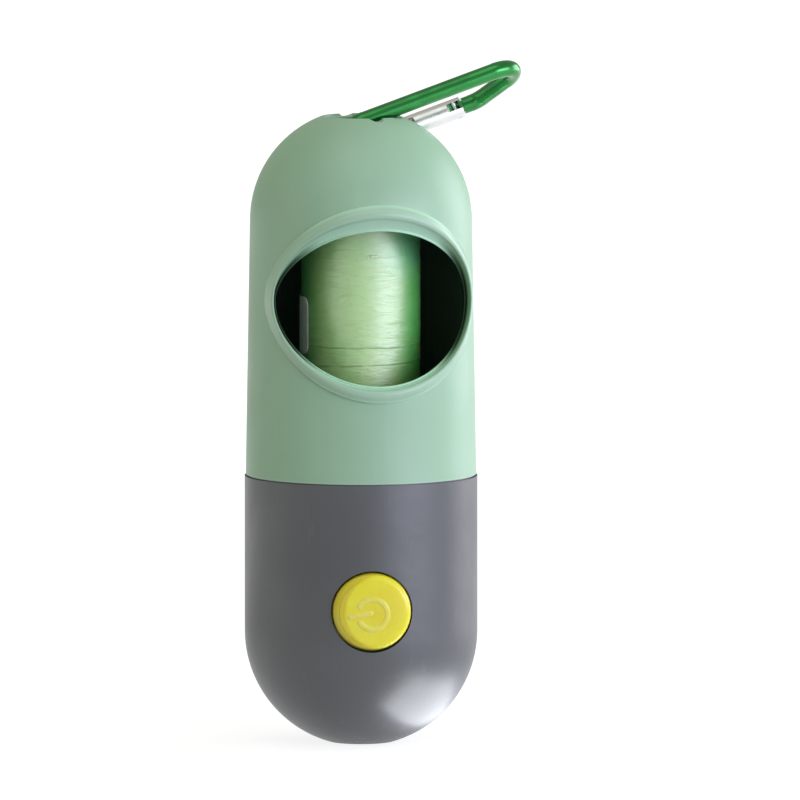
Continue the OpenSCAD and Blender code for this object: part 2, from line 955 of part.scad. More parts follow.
torch_shell();
button_cap();
switch_plunger();
push_switch();
circuit_board();
board_screws();
battery_holder();
button_cells();
contact_spring();
contact_plate();
lamp();
reflector();
lens();
divider_plate();
divider_screws();
bag_shell();
roll_core();
bag_roll();
roll_label();
clip_body();
gate_pivot();
clip_gate();
latch_pin();
gate_spring();
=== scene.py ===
import math

import bmesh
import bpy
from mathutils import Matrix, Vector, noise


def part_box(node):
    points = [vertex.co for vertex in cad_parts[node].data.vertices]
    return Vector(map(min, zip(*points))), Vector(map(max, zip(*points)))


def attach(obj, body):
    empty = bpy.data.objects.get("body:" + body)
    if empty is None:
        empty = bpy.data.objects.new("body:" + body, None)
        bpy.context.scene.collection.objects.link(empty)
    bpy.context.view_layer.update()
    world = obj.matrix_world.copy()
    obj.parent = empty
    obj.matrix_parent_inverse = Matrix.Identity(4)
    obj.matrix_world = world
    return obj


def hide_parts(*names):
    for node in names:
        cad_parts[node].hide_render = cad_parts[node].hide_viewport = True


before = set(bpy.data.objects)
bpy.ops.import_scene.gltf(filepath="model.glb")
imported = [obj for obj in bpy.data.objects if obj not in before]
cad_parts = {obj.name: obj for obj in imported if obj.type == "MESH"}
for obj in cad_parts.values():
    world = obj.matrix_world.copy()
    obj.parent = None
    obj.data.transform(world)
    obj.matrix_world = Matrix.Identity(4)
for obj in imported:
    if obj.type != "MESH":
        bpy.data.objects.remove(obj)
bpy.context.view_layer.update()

MM = 0.001

# The dispenser's own sizes, in millimetres, as the solids have them.
# Z is up from the flat foot, and the bag window faces -Y.
SEAM_Z = 48.5
BASE_R = 20.8
DOME_R = 20.0
DOME_Z = 94.4
WALL = 1.6
TORCH_R = 21.0
TORCH_TURN = math.radians(-5)
SPIGOT_R = 18.8
WINDOW_W = 36.0
WINDOW_H = 31.0
WINDOW_Z = 80.8
LIP_SIDE = 0.8
LIP_TOP = 1.9
BUTTON_R = 7.0
BUTTON_Z = 25.6
BUTTON_FACE = 21.7
BUTTON_CROWN = 0.5


# ---- camera and lights ----

# Where the camera stands, by its bearing from the window, its rise and its distance in metres,
# and what it aims at: a height and a shift to the right, in millimetres
VIEW_TURN = math.radians(-10.7)
VIEW_RISE = math.radians(5.5)
VIEW_DISTANCE = 2.5
VIEW_WIDTH = 144.2 * MM
VIEW_END = 60
AIM_Z = 61.75
AIM_RIGHT = 7.03
SENSOR = 36.0


def towards(turn, rise):
    """The way from the object to a viewer or lamp. A turn of 0 is in front of the window,
    and a positive one is to its right."""
    return Vector((
        math.sin(turn) * math.cos(rise),
        -math.cos(turn) * math.cos(rise),
        math.sin(rise)))


def put(name, data, place=None):
    obj = bpy.data.objects.new(name, data)
    bpy.context.scene.collection.objects.link(obj)
    if place is not None:
        obj.location = place
    return obj


def set_camera():
    back = towards(VIEW_TURN, VIEW_RISE)
    right = Vector((math.cos(VIEW_TURN), math.sin(VIEW_TURN), 0))
    aim = Vector((0, 0, AIM_Z * MM)) + right * AIM_RIGHT * MM
    data = bpy.data.cameras.new("camera")
    data.sensor_width = SENSOR
    data.lens = SENSOR * VIEW_DISTANCE / VIEW_WIDTH
    data.clip_end = VIEW_END
    camera = put("camera", data, aim + back * VIEW_DISTANCE)
    camera.rotation_euler = back.to_track_quat("Z", "Y").to_euler()
    bpy.context.scene.camera = camera


def softbox(name, turn, rise, distance, width, height, watts, tint=(1, 1, 1), aim=(0, 0, 0.06)):
    """A flat lamp facing aim, at a bearing and rise in degrees. Its lengths are metres."""
    data = bpy.data.lights.new(name, "AREA")
    data.shape = "RECTANGLE"
    data.size = width
    data.size_y = height
    data.energy = watts
    data.color = tint
    back = towards(math.radians(turn), math.radians(rise))
    lamp = put(name, data, Vector(aim) + back * distance)
    lamp.rotation_euler = back.to_track_quat("Z", "Y").to_euler()
    return lamp


def set_lights():
    softbox("window_light", 42, 8, 1.0, 0.9, 0.5, 5.8, (0.98, 1.01, 1.3))
    softbox("side_light", 108, 10, 0.8, 0.5, 0.45, 3.0, (0.98, 0.98, 1.08))
    softbox("top_light", -30, 66, 0.8, 0.5, 0.5, 0.6)
    softbox("left_fill", -98, 12, 0.9, 0.3, 0.8, 0.45, (1.0, 0.99, 0.9))
    # White paper right of the foot throws the window's light back up under the round end
    bounce = softbox("paper_bounce", 55, -80, 0.124, 0.03, 0.018, 0.007,
                     (0.98, 1.0, 1.04), aim=(0, 0, 0.1241))
    bounce.visible_camera = False


bpy.context.scene.view_settings.view_transform = "Standard"
set_camera()
set_lights()


# ---- materials ----

def srgb(r, g, b):
    """A colour as a picture gives it, 0 to 255, in Blender's linear numbers."""
    def linear(c):
        c = c / 255
        return c / 12.92 if c <= 0.04045 else ((c + 0.055) / 1.055) ** 2.4
    return (linear(r), linear(g), linear(b), 1.0)


class Value:
    """A number, colour or vector on its way through a material."""

    def __init__(self, finish, socket):
        self.finish = finish
        self.socket = socket

    def math(self, operation, first, second=0.5):
        return self.finish.node("ShaderNodeMath", {"operation": operation}, {0: first, 1: second})

    def __add__(self, other):
        return self.math("ADD", self, other)

    __radd__ = __add__

    def __sub__(self, other):
        return self.math("SUBTRACT", self, other)

    def __rsub__(self, other):
        return self.math("SUBTRACT", other, self)

    def __mul__(self, other):
        return self.math("MULTIPLY", self, other)

    __rmul__ = __mul__

    def __pow__(self, other):
        return self.math("POWER", self, other)

    def larger(self, other):
        return self.math("MAXIMUM", self, other)

    def smaller(self, other):
        return self.math("MINIMUM", self, other)

    def root(self):
        return self.math("SQRT", self)

    def size(self):
        return self.math("ABSOLUTE", self)

    def angle(self, other):
        return self.math("ARCTAN2", self, other)

    def sine(self):
        return self.math("SINE", self)

    def rise(self, low, high):
        """0 below low and 1 above high, with a smooth step between."""
        return self.finish.node("ShaderNodeMapRange", {"interpolation_type": "SMOOTHSTEP"},
                                {"Value": self, "From Min": low, "From Max": high})


class Finish:
    """A material in the making: one shader and the nodes that feed it. Lengths are millimetres."""

    def __init__(self, name, **looks):
        self.material = bpy.data.materials.new(name)
        self.material.use_nodes = True
        self.tree = self.material.node_tree
        self.shader = self.tree.nodes["Principled BSDF"]
        for socket, value in looks.items():
            self.set(socket.replace("_", " "), value)

    def set(self, socket, value):
        self.feed(self.shader.inputs[socket], value)

    def feed(self, socket, value):
        if isinstance(value, Value):
            self.tree.links.new(value.socket, socket)
        else:
            socket.default_value = value

    def node(self, kind, settings=None, inputs=None, output=0):
        made = self.tree.nodes.new(kind)
        for name, value in (settings or {}).items():
            setattr(made, name, value)
        for socket, value in (inputs or {}).items():
            self.feed(made.inputs[socket], value)
        return Value(self, made.outputs[output])

    def place(self, x=1.0, y=1.0, z=1.0):
        """Where the surface is on the object, in millimetres, stretched along its axes."""
        at = self.node("ShaderNodeTexCoord", output="Object")
        return self.node("ShaderNodeVectorMath", {"operation": "MULTIPLY"},
                         {0: at, 1: (x / MM, y / MM, z / MM)})

    def axes(self):
        at = self.place()
        return [self.node("ShaderNodeSeparateXYZ", None, {0: at}, k) for k in range(3)]

    def noise(self, scale, detail=2.0, at=None, rough=0.5, twist=0.0):
        return self.node("ShaderNodeTexNoise", None, {
            "Vector": at or self.place(), "Scale": scale, "Detail": detail,
            "Roughness": rough, "Distortion": twist})

    def cells(self, scale):
        """How far the nearest of many scattered points is."""
        return self.node("ShaderNodeTexVoronoi", {"feature": "F1"},
                         {"Vector": self.place(), "Scale": scale}, "Distance")

    def mix(self, a, b, share):
        """From colour a to colour b, as share goes from 0 to 1."""
        return self.node("ShaderNodeMix", {"data_type": "RGBA"}, {0: share, 6: a, 7: b}, 2)

    def bump(self, height, depth, strength=1.0):
        """Relief of that depth in millimetres, from a height of 0 to 1."""
        before = self.shader.inputs["Normal"]
        inputs = {"Height": height, "Distance": depth * MM, "Strength": strength}
        if before.is_linked:
            inputs["Normal"] = Value(self, before.links[0].from_socket)
        self.set("Normal", self.node("ShaderNodeBump", None, inputs))


def moulded(name, colour, deep, roughness, grain=0.012, scuffs=0.5, **looks):
    """Moulded plastic: slow drifts of colour, a fine spark-eroded grain, a few rubbed streaks."""
    f = Finish(name, **looks)
    drift = f.noise(0.055, 3.0).rise(0.3, 0.7)
    speck = f.noise(3.2, 2.0).rise(0.62, 0.78)
    streak = f.noise(0.8, 4.0, f.place(0.7, 0.7, 0.09), twist=0.6).rise(0.6, 0.74) * scuffs
    tone = f.mix(colour, deep, drift * 0.7 + speck * 0.3)
    f.set("Base Color", tone)
    f.set("Roughness", roughness + 0.07 * drift + 0.12 * streak)
    f.bump(f.noise(5.5, 3.0), grain)
    f.bump(f.noise(0.12, 1.0), 0.05, 0.4)
    return f, tone, streak


def inner_plastic(name, colour, deep, roughness, grain=0.012):
    """Moulded plastic of a piece inside, with nothing added to it."""
    return moulded(name, colour, deep, roughness, grain)[0].material


def torch_plastic():
    """Grey moulded plastic, rubbed pale on the foot, with a painted highlight in a thin edge at the
    rim and painted shade darkening its hollow."""
    f, tone, streak = moulded("torch_plastic", srgb(70, 73, 78), srgb(63, 66, 70), 0.38,
                              grain=0.01, scuffs=0.6, Specular_IOR_Level=0.95)
    f.bump(f.noise(0.2, 2.0), 0.16, 0.5)
    x, y, z = f.axes()
    out = (x * x + y * y).root()
    # The rim mask is a painted highlight: a thin pale line along the edge just below the seam.
    rim = z.rise(SEAM_Z - 0.45, SEAM_Z - 0.1) * (1 - z.rise(SEAM_Z, SEAM_Z + 0.4))
    foot = (1 - z.rise(0.3, 2.4)) * f.noise(0.9, 3.0).rise(0.4, 0.65)
    inside = 1 - out.rise(TORCH_R - 1.4, TORCH_R - 0.8)
    # The pale grey is real wear on the streaks and the scuffed foot, and painted highlight along
    # the rim.
    tone = f.mix(tone, srgb(140, 140, 144), streak * 0.2 + rim * 0.35 + foot * 0.3)
    # Painted shade: the inner wall of the hollow below the seam is darkened.
    hollow_shade = (1 - z.rise(SEAM_Z - 1.9, SEAM_Z - 1.5)) * inside * z.rise(20, 24)
    f.set("Base Color", f.mix(tone, srgb(58, 58, 60), hollow_shade * 0.6))
    return f.material


def under_skin(x, y, z):
    """How far inside the bag half's skin a point lies, in millimetres."""
    above = (z - DOME_Z).larger(0)
    out = (x * x + y * y + above * above).root()
    taper = BASE_R - DOME_R
    skin = BASE_R - ((z - SEAM_Z) * (taper / (DOME_Z - SEAM_Z))).smaller(taper)
    return skin - out


def bag_plastic():
    """Sage green plastic with a soft sheen. Its hollow is painted dark as painted shade, and a thin
    painted highlight runs along its foot.
    """
    f, tone, streak = moulded("bag_plastic", srgb(165, 203, 172), srgb(158, 197, 165), 0.41,
                              grain=0.008, scuffs=0.35, Specular_IOR_Level=0.7)
    x, y, z = f.axes()
    # Painted shade: the inner wall of the hollow is painted nearly black.
    hollow_shade = under_skin(x, y, z).rise(WALL - 0.35, WALL + 0.1)
    # Painted highlight: a thin pale line along the green's foot, just above the seam; the streaks
    # beside it are real wear.
    foot_highlight = (1 - z.rise(SEAM_Z + 0.1, SEAM_Z + 0.5)) * z.rise(SEAM_Z - 0.2, SEAM_Z)
    tone = f.mix(tone, srgb(186, 218, 194), streak * 0.25 + foot_highlight * 0.3)
    f.set("Base Color", f.mix(tone, srgb(17, 34, 22), hollow_shade * 0.93))
    return f.material


def lip_plastic():
    """The same green on the window's bead, with a painted highlight on its crest and bevel and
    painted shade down its inside.
    """
    f, tone, streak = moulded("lip_plastic", srgb(174, 212, 182), srgb(167, 205, 175), 0.34,
                              grain=0.006, scuffs=0.3, Specular_IOR_Level=0.7)
    x, y, z = f.axes()
    depth = under_skin(x, y, z)
    # Painted highlight: a pale line along the bead's crest; the streaks beside it are real wear.
    crest_highlight = (0.2 - (depth + 1.0).size()).larger(0) * 2
    tone = f.mix(tone, srgb(192, 224, 202), streak * 0.3 + crest_highlight)
    side = x.size().rise(10, 15.5)
    # Painted highlight: the bevel above and below the window is painted pale.
    bevel_highlight = depth.rise(-0.9, -0.3) * (1 - depth.rise(0.9, 1.2))
    tone = f.mix(tone, srgb(192, 236, 206), bevel_highlight * (1 - side))
    # Painted shade: the bead's inside is darkened, down the sides and beyond the bevel.
    tone = f.mix(tone, srgb(44, 92, 58), depth.rise(-0.3, 0.4) * side * 0.85)
    f.set("Base Color", f.mix(tone, srgb(18, 46, 25), (depth + 0.9 * side).rise(1.1, 1.9)))
    return f.material


def button_rubber():
    """Glossy yellow rubber, deeper and warmer about its middle, and darker in a ring round its
    edge.
    """
    f = Finish("button_rubber", Specular_IOR_Level=0.55, Coat_Roughness=0.16,
               Subsurface_Weight=0.12, Subsurface_Scale=0.002)
    x, _, z = f.axes()
    up = z - BUTTON_Z
    across = (x * x + up * up).root()
    drift = f.noise(0.35, 3.0).rise(0.35, 0.65)
    middle = (1 - across.rise(0.5, BUTTON_R - 1.5)) * 0.5
    tone = f.mix(srgb(255, 244, 56), srgb(252, 238, 42), drift)
    tone = f.mix(tone, srgb(240, 214, 32), middle)
    # A darker ring round the cap's edge, which also dulls the coat there.
    edge_darkening = across.rise(BUTTON_R - 0.7, BUTTON_R + 0.1)
    f.set("Base Color", f.mix(tone, srgb(206, 182, 44), edge_darkening * 0.6))
    f.set("Roughness", 0.27 + drift * 0.08)
    f.set("Coat Weight", 0.35 - edge_darkening * 0.2)
    f.bump(f.noise(1.6, 3.0), 0.012)
    return f.material


def sign_rubber():
    """The raised sign, rubbed paler than the cap it stands on."""
    f = Finish("sign_rubber", Specular_IOR_Level=0.55, Coat_Roughness=0.18,
               Subsurface_Weight=0.12, Subsurface_Scale=0.002)
    worn = f.noise(1.3, 4.0).rise(0.4, 0.62)
    f.set("Base Color", f.mix(srgb(255, 238, 88), srgb(255, 241, 118), worn))
    f.set("Roughness", 0.32 + worn * 0.1)
    f.set("Coat Weight", 0.3 - worn * 0.1)
    f.bump(f.noise(2.2, 3.0), 0.01)
    return f.material


# What lies where on the film. A fold line has a height, a tilt and the bearing of that tilt, and
# the two sides painted pale as painted light are turned so that one of them faces the window. The
# nick is a small dent that also carries a painted glint.
FILM_FOLDS = ((72.55, 0.15, 0.4), (69.1, 0.35, 2.2))
FILM_NICK_X = 0.2
FILM_NICK_Z = 88.5
FILM_LIT_SIDE_TURN = 1.047


def film():
    """Thin green polythene wound tight. Many clear layers give it a pearly sheen. Two sides of the
    roll are painted pale as painted light, elsewhere it is deep green, its upper right is painted
    paler as painted light, and a nick carries a painted glint."""
    f = Finish("bag_film", IOR=2.6, Coat_Roughness=0.3, Coat_Weight=0.4, Subsurface_Weight=0.25,
               Subsurface_Scale=0.003)
    x, y, z = f.axes()
    around = y.angle(x)
    cloud = f.noise(0.16, 2.0, f.place(1, 1, 0.4)).rise(0.3, 0.7)
    # Painted light: the two pale sides of the roll, one facing the window, stand in for the
    # window's light on the film.
    lit_band = (around * 2 - FILM_LIT_SIDE_TURN).sine().rise(-0.75, 0.45) * (0.8 + 0.2 * cloud)
    crease = f.noise(0.8, 4.0, f.place(0.3, 0.3, 1.2), 0.55, 0.9)
    fine = f.noise(1.7, 4.0, f.place(0.5, 0.5, 3.0), 0.6, 0.6)
    wander = z + 0.5 * f.noise(0.25, 2.0)
    folds = 0.0
    for height, tilt, turn in FILM_FOLDS:
        line = (wander - height - tilt * (around + turn).sine()).size()
        folds = folds + (1 - line.rise(0.03, 0.3)) * f.noise(0.3, 1.0).rise(0.3, 0.5)
    # The nick is a small dent, and its near-white colour is a painted glint.
    nick_glint = ((x - FILM_NICK_X) * 0.5) ** 2 + ((z - FILM_NICK_Z) * 1.6) ** 2
    nick_glint = (1 - nick_glint.rise(0.0, 0.45)) * (1 - y.rise(-1, 1)) * f.noise(1.4, 2.0).rise(0.3, 0.6)
    # The painted light of the pale sides fades towards the roll's top.
    upper = z.rise(84, 93) * 0.45
    tone = f.mix(srgb(92, 194, 86), srgb(192, 235, 152), lit_band * (1 - upper))
    # Painted light: the roll's upper right is painted a paler turquoise.
    tone = f.mix(tone, srgb(140, 236, 176), z.rise(82, 91) * x.rise(1, 7) * 0.8)
    tone = f.mix(tone, srgb(96, 156, 74), folds * 0.45 + fine.rise(0.5, 0.75) * 0.22)
    tone = f.mix(tone, srgb(150, 196, 110), crease.rise(0.52, 0.7) * 0.35)
    f.set("Base Color", f.mix(tone, srgb(236, 248, 220), nick_glint))
    f.set("Roughness", 0.36 + 0.16 * crease)
    f.bump(crease, 0.16, 0.7)
    f.bump(fine, 0.04, 0.6)
    f.bump(folds, 0.08, 0.8)
    f.bump(nick_glint, 0.2, 0.8)
    f.bump(f.noise(0.5, 2.0, f.place(1, 1, 0.4)), 0.08, 0.4)
    return f.material


def film_ends():
    """The roll's ends: the edges of many layers, wound round the core."""
    f = Finish("film_ends", Specular_IOR_Level=0.4, Subsurface_Weight=0.2, Subsurface_Scale=0.002)
    x, y, _ = f.axes()
    out = (x * x + y * y).root() + y.angle(x) * 0.02
    layers = (out * 34 + f.noise(0.7, 3.0) * 7).sine() * 0.5 + 0.5
    tone = f.mix(srgb(96, 150, 86), srgb(170, 208, 154), layers.rise(0.1, 0.9))
    f.set("Base Color", f.mix(tone, srgb(120, 168, 106), f.noise(0.3, 3.0)))
    f.set("Roughness", 0.45 + 0.2 * layers)
    f.bump(layers, 0.06, 0.8)
    return f.material


def fibrous(name, colour, deep, roughness=0.8, relief=0.03):
    """Paper or card: a felt of short fibres with faint flecks."""
    f = Finish(name, Specular_IOR_Level=0.2)
    felt = f.noise(6.0, 4.0, f.place(1, 1, 2.2), 0.65, 1.2)
    fleck = f.noise(2.5, 2.0).rise(0.66, 0.74)
    f.set("Base Color", f.mix(f.mix(colour, deep, felt), deep, fleck * 0.5))
    f.set("Roughness", roughness + 0.1 * felt)
    f.bump(felt, relief)
    return f.material


def metal(name, colour, deep, roughness, brush=(1, 1, 1)):
    """Bright metal: fine marks along one way, cloudy dulled patches and a few pits."""
    f = Finish(name, Metallic=1.0)
    marks = f.noise(2.4, 4.0, f.place(*brush), 0.6)
    cloud = f.noise(0.25, 3.0).rise(0.3, 0.7)
    pits = f.noise(1.7, 2.0).rise(0.68, 0.76)
    f.set("Base Color", f.mix(colour, deep, 0.5 * marks + 0.3 * cloud + 0.3 * pits))
    f.set("Roughness", roughness + 0.12 * cloud + 0.1 * marks)
    f.bump(marks, 0.006)
    return f.material


def clip_green():
    """Green anodised aluminium: a clear coat over brushed metal, worn through in small chips."""
    f = Finish("clip_green", Metallic=0.85, Specular_IOR_Level=0.6, Coat_Roughness=0.08)
    marks = f.noise(1.2, 4.0, f.place(0.25, 2.2, 1.6), 0.6)
    cloud = f.noise(0.3, 3.0).rise(0.35, 0.65)
    chips = f.noise(1.1, 5.0, None, 0.65).rise(0.66, 0.72)
    tone = f.mix(srgb(42, 152, 70), srgb(22, 116, 46), 0.5 * cloud + 0.4 * marks)
    f.set("Base Color", f.mix(tone, srgb(168, 190, 172), chips * 0.35))
    f.set("Roughness", 0.24 + 0.1 * cloud + 0.1 * chips)
    f.set("Coat Weight", 0.6 - 0.4 * chips)
    f.bump(marks, 0.008)
    return f.material


def clear_plastic(name, tint, roughness=0.08):
    """Clear moulded plastic with faint swirls in it."""
    f = Finish(name, IOR=1.49, Transmission_Weight=0.9, Specular_IOR_Level=0.5)
    swirl = f.noise(0.9, 3.0, twist=1.2)
    f.set("Base Color", f.mix(tint, (1, 1, 1, 1), swirl.rise(0.3, 0.7)))
    f.set("Roughness", roughness + 0.06 * swirl.rise(0.45, 0.75))
    f.bump(swirl, 0.01)
    return f.material


def board_mask():
    """Green solder mask over faint copper tracks, with round tinned pads."""
    f = Finish("board_green", Specular_IOR_Level=0.5, Coat_Roughness=0.2)
    x, _, z = f.axes()
    weave = ((x * 9).sine() * (z * 9).sine()) * 0.5 + 0.5
    track = f.node("ShaderNodeTexBrick", {"offset": 0.3, "squash": 0.6},
                   {"Vector": f.place(), "Scale": 0.16, "Mortar Size": 0.03,
                    "Mortar Smooth": 0.1}, "Fac")
    pads = 1 - f.cells(0.33).rise(0.11, 0.16)
    tone = f.mix(srgb(22, 92, 52), srgb(30, 112, 64), weave)
    tone = f.mix(tone, srgb(52, 140, 84), track * 0.6)
    f.set("Base Color", f.mix(tone, srgb(196, 196, 188), pads))
    f.set("Metallic", pads)
    f.set("Roughness", 0.34 + 0.1 * weave)
    f.set("Coat Weight", 0.4 - pads * 0.4)
    f.bump(track, 0.03)
    f.bump(pads, 0.05)
    return f.material


FINISHES = {
    "torch_plastic": torch_plastic(),
    "bag_plastic": bag_plastic(),
    "lip_plastic": lip_plastic(),
    "button_rubber": button_rubber(),
    "sign_rubber": sign_rubber(),
    "bag_film": film(),
    "film_ends": film_ends(),
    "core_card": fibrous("core_card", srgb(190, 158, 116), srgb(150, 118, 80)),
    "label_paper": fibrous("label_paper", srgb(240, 243, 236), srgb(224, 230, 220), 0.6, 0.012),
    "clip_green": clip_green(),
    "gate_silver": metal("gate_silver", srgb(244, 244, 245), srgb(222, 221, 223), 0.24,
                         (0.3, 2, 2)),
    "screw_steel": metal("screw_steel", srgb(206, 206, 208), srgb(160, 160, 164), 0.25),
    "spring_steel": metal("spring_steel", srgb(196, 196, 200), srgb(150, 150, 156), 0.22),
    "cell_steel": metal("cell_steel", srgb(214, 213, 208), srgb(182, 181, 176), 0.2,
                        (2, 2, 0.3)),
    "switch_metal": metal("switch_metal", srgb(192, 194, 196), srgb(150, 152, 156), 0.3),
    "contact_brass": metal("contact_brass", srgb(214, 180, 96), srgb(176, 140, 66), 0.28),
    "reflector_silver": metal("reflector_silver", srgb(236, 236, 238), srgb(214, 214, 218), 0.08),
    "switch_black": inner_plastic("switch_black", srgb(34, 34, 36), srgb(26, 26, 28), 0.4),
    "holder_black": inner_plastic("holder_black", srgb(38, 38, 40), srgb(28, 28, 30), 0.5, 0.02),
    "divider_plastic": inner_plastic("divider_plastic", srgb(64, 64, 68), srgb(54, 54, 58),
                                     0.48, 0.015),
    "lamp_clear": clear_plastic("lamp_clear", srgb(226, 238, 244)),
    "lens_clear": clear_plastic("lens_clear", srgb(214, 230, 240), 0.05),
    "board_green": board_mask(),
}

NODE_FINISHES = {
    "torch_shell": "torch_plastic", "button_cap": "button_rubber", "switch_plunger": "switch_black",
    "push_switch": "switch_metal", "circuit_board": "board_green", "board_screws": "screw_steel",
    "battery_holder": "holder_black", "button_cells": "cell_steel",
    "contact_spring": "spring_steel", "contact_plate": "contact_brass",
    "lamp": "lamp_clear", "reflector": "reflector_silver",
    "lens": "lens_clear", "divider_plate": "divider_plastic", "divider_screws": "screw_steel",
    "bag_shell": "bag_plastic", "roll_core": "core_card", "clip_body": "clip_green",
    "gate_pivot": "gate_silver", "clip_gate": "gate_silver", "latch_pin": "gate_silver",
    "gate_spring": "spring_steel",
}


def dress(obj, *finishes):
    obj.data.materials.clear()
    for finish in finishes:
        obj.data.materials.append(FINISHES[finish])


for node_name, finish_name in NODE_FINISHES.items():
    dress(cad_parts[node_name], finish_name)


# ---- floor and surroundings ----

# In metres: the floor's radius, and its gap below the foot, so that their faces don't meet
FLOOR_R = 9
FLOOR_GAP = 0.00005
ROOM_TINT = (0.97, 1, 0.87, 1)
ROOM_STRENGTH = 0.45
WHITE = (1, 1, 1, 1)


def floor_paper():
    """White paper that shows as plain white, and still takes the object's soft shadow."""
    f = Finish("floor_paper", Roughness=0.9)
    f.set("Base Color", (0.35, 0.35, 0.35, 1))
    seen = f.node("ShaderNodeLightPath", output="Is Camera Ray").larger(
        f.node("ShaderNodeLightPath", output="Is Glossy Ray")).larger(
        f.node("ShaderNodeLightPath", output="Is Transmission Ray"))
    x, y, _ = f.axes()
    far = (x * x + y * y).root().rise(60, 500)
    glow = f.mix((0.84, 0.84, 0.84, 1), WHITE, far)
    lit = f.node("ShaderNodeBsdfDiffuse", None, {"Color": (0.3, 0.3, 0.3, 1)})
    shine = f.node("ShaderNodeEmission", None, {"Color": glow, "Strength": 1.0})
    shown = f.node("ShaderNodeAddShader", None, {0: lit, 1: shine})
    both = f.node("ShaderNodeMixShader", None,
                  {0: seen, 1: Value(f, f.shader.outputs[0]), 2: shown})
    f.feed(f.tree.nodes["Material Output"].inputs["Surface"], both)
    return f.material


def lay_floor():
    mesh = bpy.data.meshes.new("floor")
    work = bmesh.new()
    bmesh.ops.create_circle(work, cap_ends=True, segments=96, radius=FLOOR_R)
    work.to_mesh(mesh)
    work.free()
    floor = put("floor", mesh, (0, 0, -FLOOR_GAP))
    mesh.materials.append(floor_paper())


def set_world():
    """A dim room that lights the object, and plain white where the camera looks past it."""
    world = bpy.data.worlds.new("studio")
    bpy.context.scene.world = world
    world.use_nodes = True
    nodes, links = world.node_tree.nodes, world.node_tree.links
    room = nodes["Background"]
    room.inputs["Color"].default_value = ROOM_TINT
    room.inputs["Strength"].default_value = ROOM_STRENGTH
    white = nodes.new("ShaderNodeBackground")
    white.inputs["Color"].default_value = WHITE
    white.inputs["Strength"].default_value = 1.0
    path = nodes.new("ShaderNodeLightPath")
    choose = nodes.new("ShaderNodeMixShader")
    links.new(path.outputs["Is Camera Ray"], choose.inputs[0])
    links.new(room.outputs[0], choose.inputs[1])
    links.new(white.outputs[0], choose.inputs[2])
    links.new(choose.outputs[0], nodes["World Output"].inputs["Surface"])


lay_floor()
set_world()


# ---- shapes ----

def grid_object(name, rows, finishes, closed_row=False, closed_column=False, pick=None):
    """A skin over rows of points in millimetres, all rows equally long. A closed row meets its
    own start, and a closed column the first row. Pick gives each band between two rows the
    number of its finish."""
    mesh = bpy.data.meshes.new(name)
    work = bmesh.new()
    grid = [[work.verts.new(Vector(p) * MM) for p in row] for row in rows]
    count = len(grid[0])
    for j in range(len(grid) if closed_column else len(grid) - 1):
        row, after = grid[j], grid[(j + 1) % len(grid)]
        for i in range(count if closed_row else count - 1):
            k = (i + 1) % count
            face = work.faces.new((row[i], row[k], after[k], after[i]))
            face.smooth = True
            if pick:
                face.material_index = pick(j)
    bmesh.ops.recalc_face_normals(work, faces=work.faces)
    work.to_mesh(mesh)
    work.free()
    obj = put(name, mesh)
    dress(obj, *finishes)
    return obj


def shell_radius(z, grown):
    """Radius of the bag half's skin at height z, grown outwards."""
    if z <= DOME_Z:
        return BASE_R + grown + (DOME_R - BASE_R) * (z - SEAM_Z) / (DOME_Z - SEAM_Z)
    return math.sqrt(max((DOME_R + grown) ** 2 - (z - DOME_Z) ** 2, 0))


# The bead's section, as points that lie so far out from the window's edge and so far proud of
# the bag half's skin. The crest's first numbers are shares of the lip's width, and the inner
# edge's two are counted inwards from the foot of the bevel and down from the skin. The bevel
# reaches further inwards towards the window's top.
BEAD_CREST = [(1.2, -0.1), (1.21, 0.2), (1.18, 0.4), (1.06, 0.52), (0.92, 0.7), (0.79, 0.88),
              (0.65, 1.04), (0.5, 1.14), (0.34, 1.17), (0.18, 1.13), (0.06, 1.03)]
BEAD_EDGE = [(0.02, 0.74), (0.1, 0.66), (0.2, 0.65), (0.28, 0.72), (0.31, 0.86), (0.3, 1.1),
             (0.26, 1.35), (0.14, 1.52)]
BEVEL_START = 0.05
BEVEL_PROUD = 0.88
BEVEL_FALL = 1.7
BEVEL_HOLLOW = 0.12
BEVEL_SIDE = 0.4
BEVEL_MORE_ON_TOP = 1.8
BEVEL_STEPS = 8
BEAD_TURNS = 216


def bead_section(a):
    """The bead's section at bearing a: over the crest, down the bevel, round the fine inner
    edge, and back under the wall."""
    wide = LIP_SIDE * math.cos(a) ** 2 + LIP_TOP * math.sin(a) ** 2
    deep = BEVEL_SIDE + BEVEL_MORE_ON_TOP * max(math.sin(a), 0) ** 1.2
    section = [(wide * out, proud) for out, proud in BEAD_CREST]
    for k in range(BEVEL_STEPS + 1):
        f = k / BEVEL_STEPS
        section.append((-BEVEL_START - (deep - BEVEL_START) * f,
                        BEVEL_PROUD - BEVEL_FALL * f - BEVEL_HOLLOW * math.sin(math.pi * f)))
    section += [(-deep - inwards, -down) for inwards, down in BEAD_EDGE]
    return section + [(-deep + 0.1, -WALL - 0.12), (0.4, -WALL - 0.22), (1.0, -WALL + 0.1)]


def window_bead():
    """The rounded bead round the bag window, wrapped on the curved wall."""
    rows = []
    for i in range(BEAD_TURNS):
        a = 2 * math.pi * i / BEAD_TURNS
        ring = []
        for out, proud in bead_section(a):
            x = (WINDOW_W / 2 + out) * math.cos(a)
            z = WINDOW_Z + (WINDOW_H / 2 + out) * math.sin(a)
            r = shell_radius(z, proud)
            ring.append((x, -math.sqrt(max(r * r - x * x, 0.01)), z))
        rows.append(ring)
    bead = grid_object("window_bead", rows, ["lip_plastic"], closed_column=True)
    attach(bead, "bag_half")


